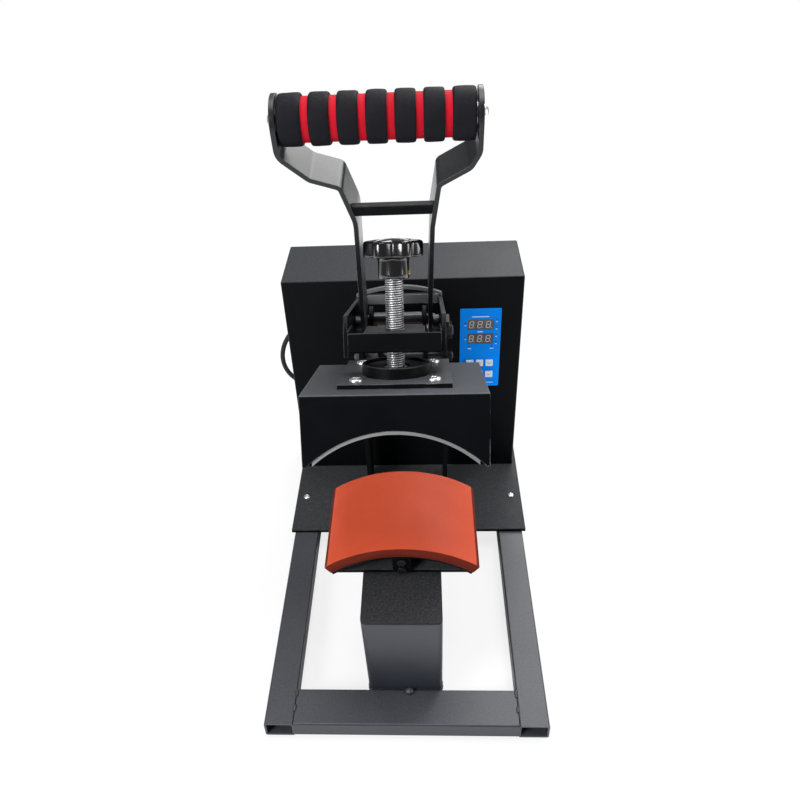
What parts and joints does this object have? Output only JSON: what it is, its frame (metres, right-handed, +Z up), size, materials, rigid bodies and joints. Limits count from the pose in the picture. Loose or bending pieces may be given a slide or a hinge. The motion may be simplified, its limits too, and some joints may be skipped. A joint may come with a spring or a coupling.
{
  "type": "cap heat press",
  "caption": "Clamshell cap heat press with a curved heated head on a lever arm, a padded curved platen on a post, a control box and a power cord.",
  "frame": {"origin": "on the table under the middle of the base frame", "axes": "+Z up, -Y towards the operator, +X to the operator's right"},
  "size_m": [0.3373, 0.6438, 0.5891],
  "materials": {
    "black_powder": "satin powder coat",
    "zinc": "bright zinc",
    "heater_metal": "dull, heat-darkened",
    "wool": "matt mineral wool",
    "silicone": "matt silicone",
    "rubber_black": "matt",
    "foam_black": "foam",
    "foam_red": "foam",
    "gloss_black": "gloss",
    "brass_insert": "plain",
    "panel_blue": "satin film",
    "display_grey": "dark window",
    "key_white": "satin",
    "board_green": "solder mask",
    "rocker_red": "gloss",
    "tie_black": "nylon"
  },
  "bodies": {
    "base": {"box_shell": "black_powder", "centre_rail": "black_powder", "control_board": "board_green", "control_panel": "panel_blue", "cord_coil": "rubber_black", "cord_gland": "rubber_black", "cord_tie": "tie_black", "deck_plate": "black_powder", "digit_displays": "display_grey", "front_cross_tube": "black_powder", "hinge_bolts": "zinc", "pan_screws": "zinc", "pivot_spacers": "zinc", "platen_block": "black_powder", "platen_bolts": "zinc", "platen_post": "black_powder", "platen_shelf": "black_powder", "platen_shell": "black_powder", "post_cap": "black_powder", "power_cord": "rubber_black", "power_plug": "gloss_black", "rear_cover": "black_powder", "rear_cross_tube": "black_powder", "rubber_feet": "rubber_black", "side_tube_left": "black_powder", "side_tube_right": "black_powder", "silicone_pad": "silicone", "switch_housing": "gloss_black", "upright_left": "black_powder", "upright_right": "black_powder"},
    "upper_arm": {"arm_plate_left": "black_powder", "arm_plate_right": "black_powder", "cross_block": "black_powder", "arm_bridge": "black_powder", "lever_studs": "zinc"},
    "lever": {"lever_bar_left": "black_powder", "lever_bar_right": "black_powder", "lever_brace": "black_powder", "grip_tube": "zinc", "foam_core": "foam_red", "foam_rings": "foam_black", "grip_screws": "zinc", "link_pin": "zinc"},
    "toggle_link": {"toggle_links": "black_powder"},
    "heat_head": {"head_cover": "black_powder", "heater_platen": "heater_metal", "head_insulation": "wool", "mount_plate": "black_powder", "swivel_cup": "black_powder", "mount_screws": "zinc"},
    "screw_and_knob": {"pressure_screw": "zinc", "star_knob": "gloss_black", "knob_grub_screw": "brass_insert"},
    "rocker": {"switch_rocker": "rocker_red"},
    "key_1": {"key_1": "key_white"},
    "key_2": {"key_2": "key_white"},
    "key_3": {"key_3": "key_white"},
    "key_4": {"key_4": "key_white"},
    "key_5": {"key_5": "key_white"},
    "key_6": {"key_6": "key_white"}
  },
  "joints": [
    {"name": "arm_pivot", "type": "hinge", "parent": "base", "child": "upper_arm", "pos_m": [0, 0.113, 0.268], "axis": [1, 0, 0], "range_deg": [0, 24]},
    {"name": "lever_pivot", "type": "hinge", "parent": "upper_arm", "child": "lever", "pos_m": [0, -0.02015, 0.36231], "axis": [1, 0, 0], "range_deg": [0, 42.01]},
    {"name": "link_pivot", "type": "hinge", "parent": "base", "child": "toggle_link", "pos_m": [0, 0.113, 0.233], "axis": [1, 0, 0], "range_deg": [0, 17.82]},
    {"name": "knob_turn", "type": "hinge", "parent": "heat_head", "child": "screw_and_knob", "pos_m": [0, -0.0532, 0.44051], "axis": [0, 0.4067, 0.9135], "range_deg": [-2701.5, 361.5]},
    {"name": "head_slide", "type": "slide", "parent": "upper_arm", "child": "heat_head", "axis": [0, 0.4067, 0.9135], "range_m": [-0.015, 0.002]},
    {"name": "switch_rock", "type": "hinge", "parent": "base", "child": "rocker", "pos_m": [0.08, 0.234, 0.11], "axis": [0, 0, 1], "range_deg": [0, 16]},
    {"name": "key_1_press", "type": "slide", "parent": "base", "child": "key_1", "axis": [0, 1, 0], "range_m": [0, 0.0005], "stiffness_N_per_m": 400, "springref_m": -0.0008},
    {"name": "key_2_press", "type": "slide", "parent": "base", "child": "key_2", "axis": [0, 1, 0], "range_m": [0, 0.0005], "stiffness_N_per_m": 400, "springref_m": -0.0008},
    {"name": "key_3_press", "type": "slide", "parent": "base", "child": "key_3", "axis": [0, 1, 0], "range_m": [0, 0.0005], "stiffness_N_per_m": 400, "springref_m": -0.0008},
    {"name": "key_4_press", "type": "slide", "parent": "base", "child": "key_4", "axis": [0, 1, 0], "range_m": [0, 0.0005], "stiffness_N_per_m": 400, "springref_m": -0.0008},
    {"name": "key_5_press", "type": "slide", "parent": "base", "child": "key_5", "axis": [0, 1, 0], "range_m": [0, 0.0005], "stiffness_N_per_m": 400, "springref_m": -0.0008},
    {"name": "key_6_press", "type": "slide", "parent": "base", "child": "key_6", "axis": [0, 1, 0], "range_m": [0, 0.0005], "stiffness_N_per_m": 400, "springref_m": -0.0008}
  ],
  "couplings": [
    {"joint": "lever_pivot", "follows": "arm_pivot", "ratio": 1.75},
    {"joint": "link_pivot", "follows": "arm_pivot", "ratio": 0.742},
    {"joint": "knob_turn", "follows": "head_slide", "rad_per_m": 3141.6}
  ]
}
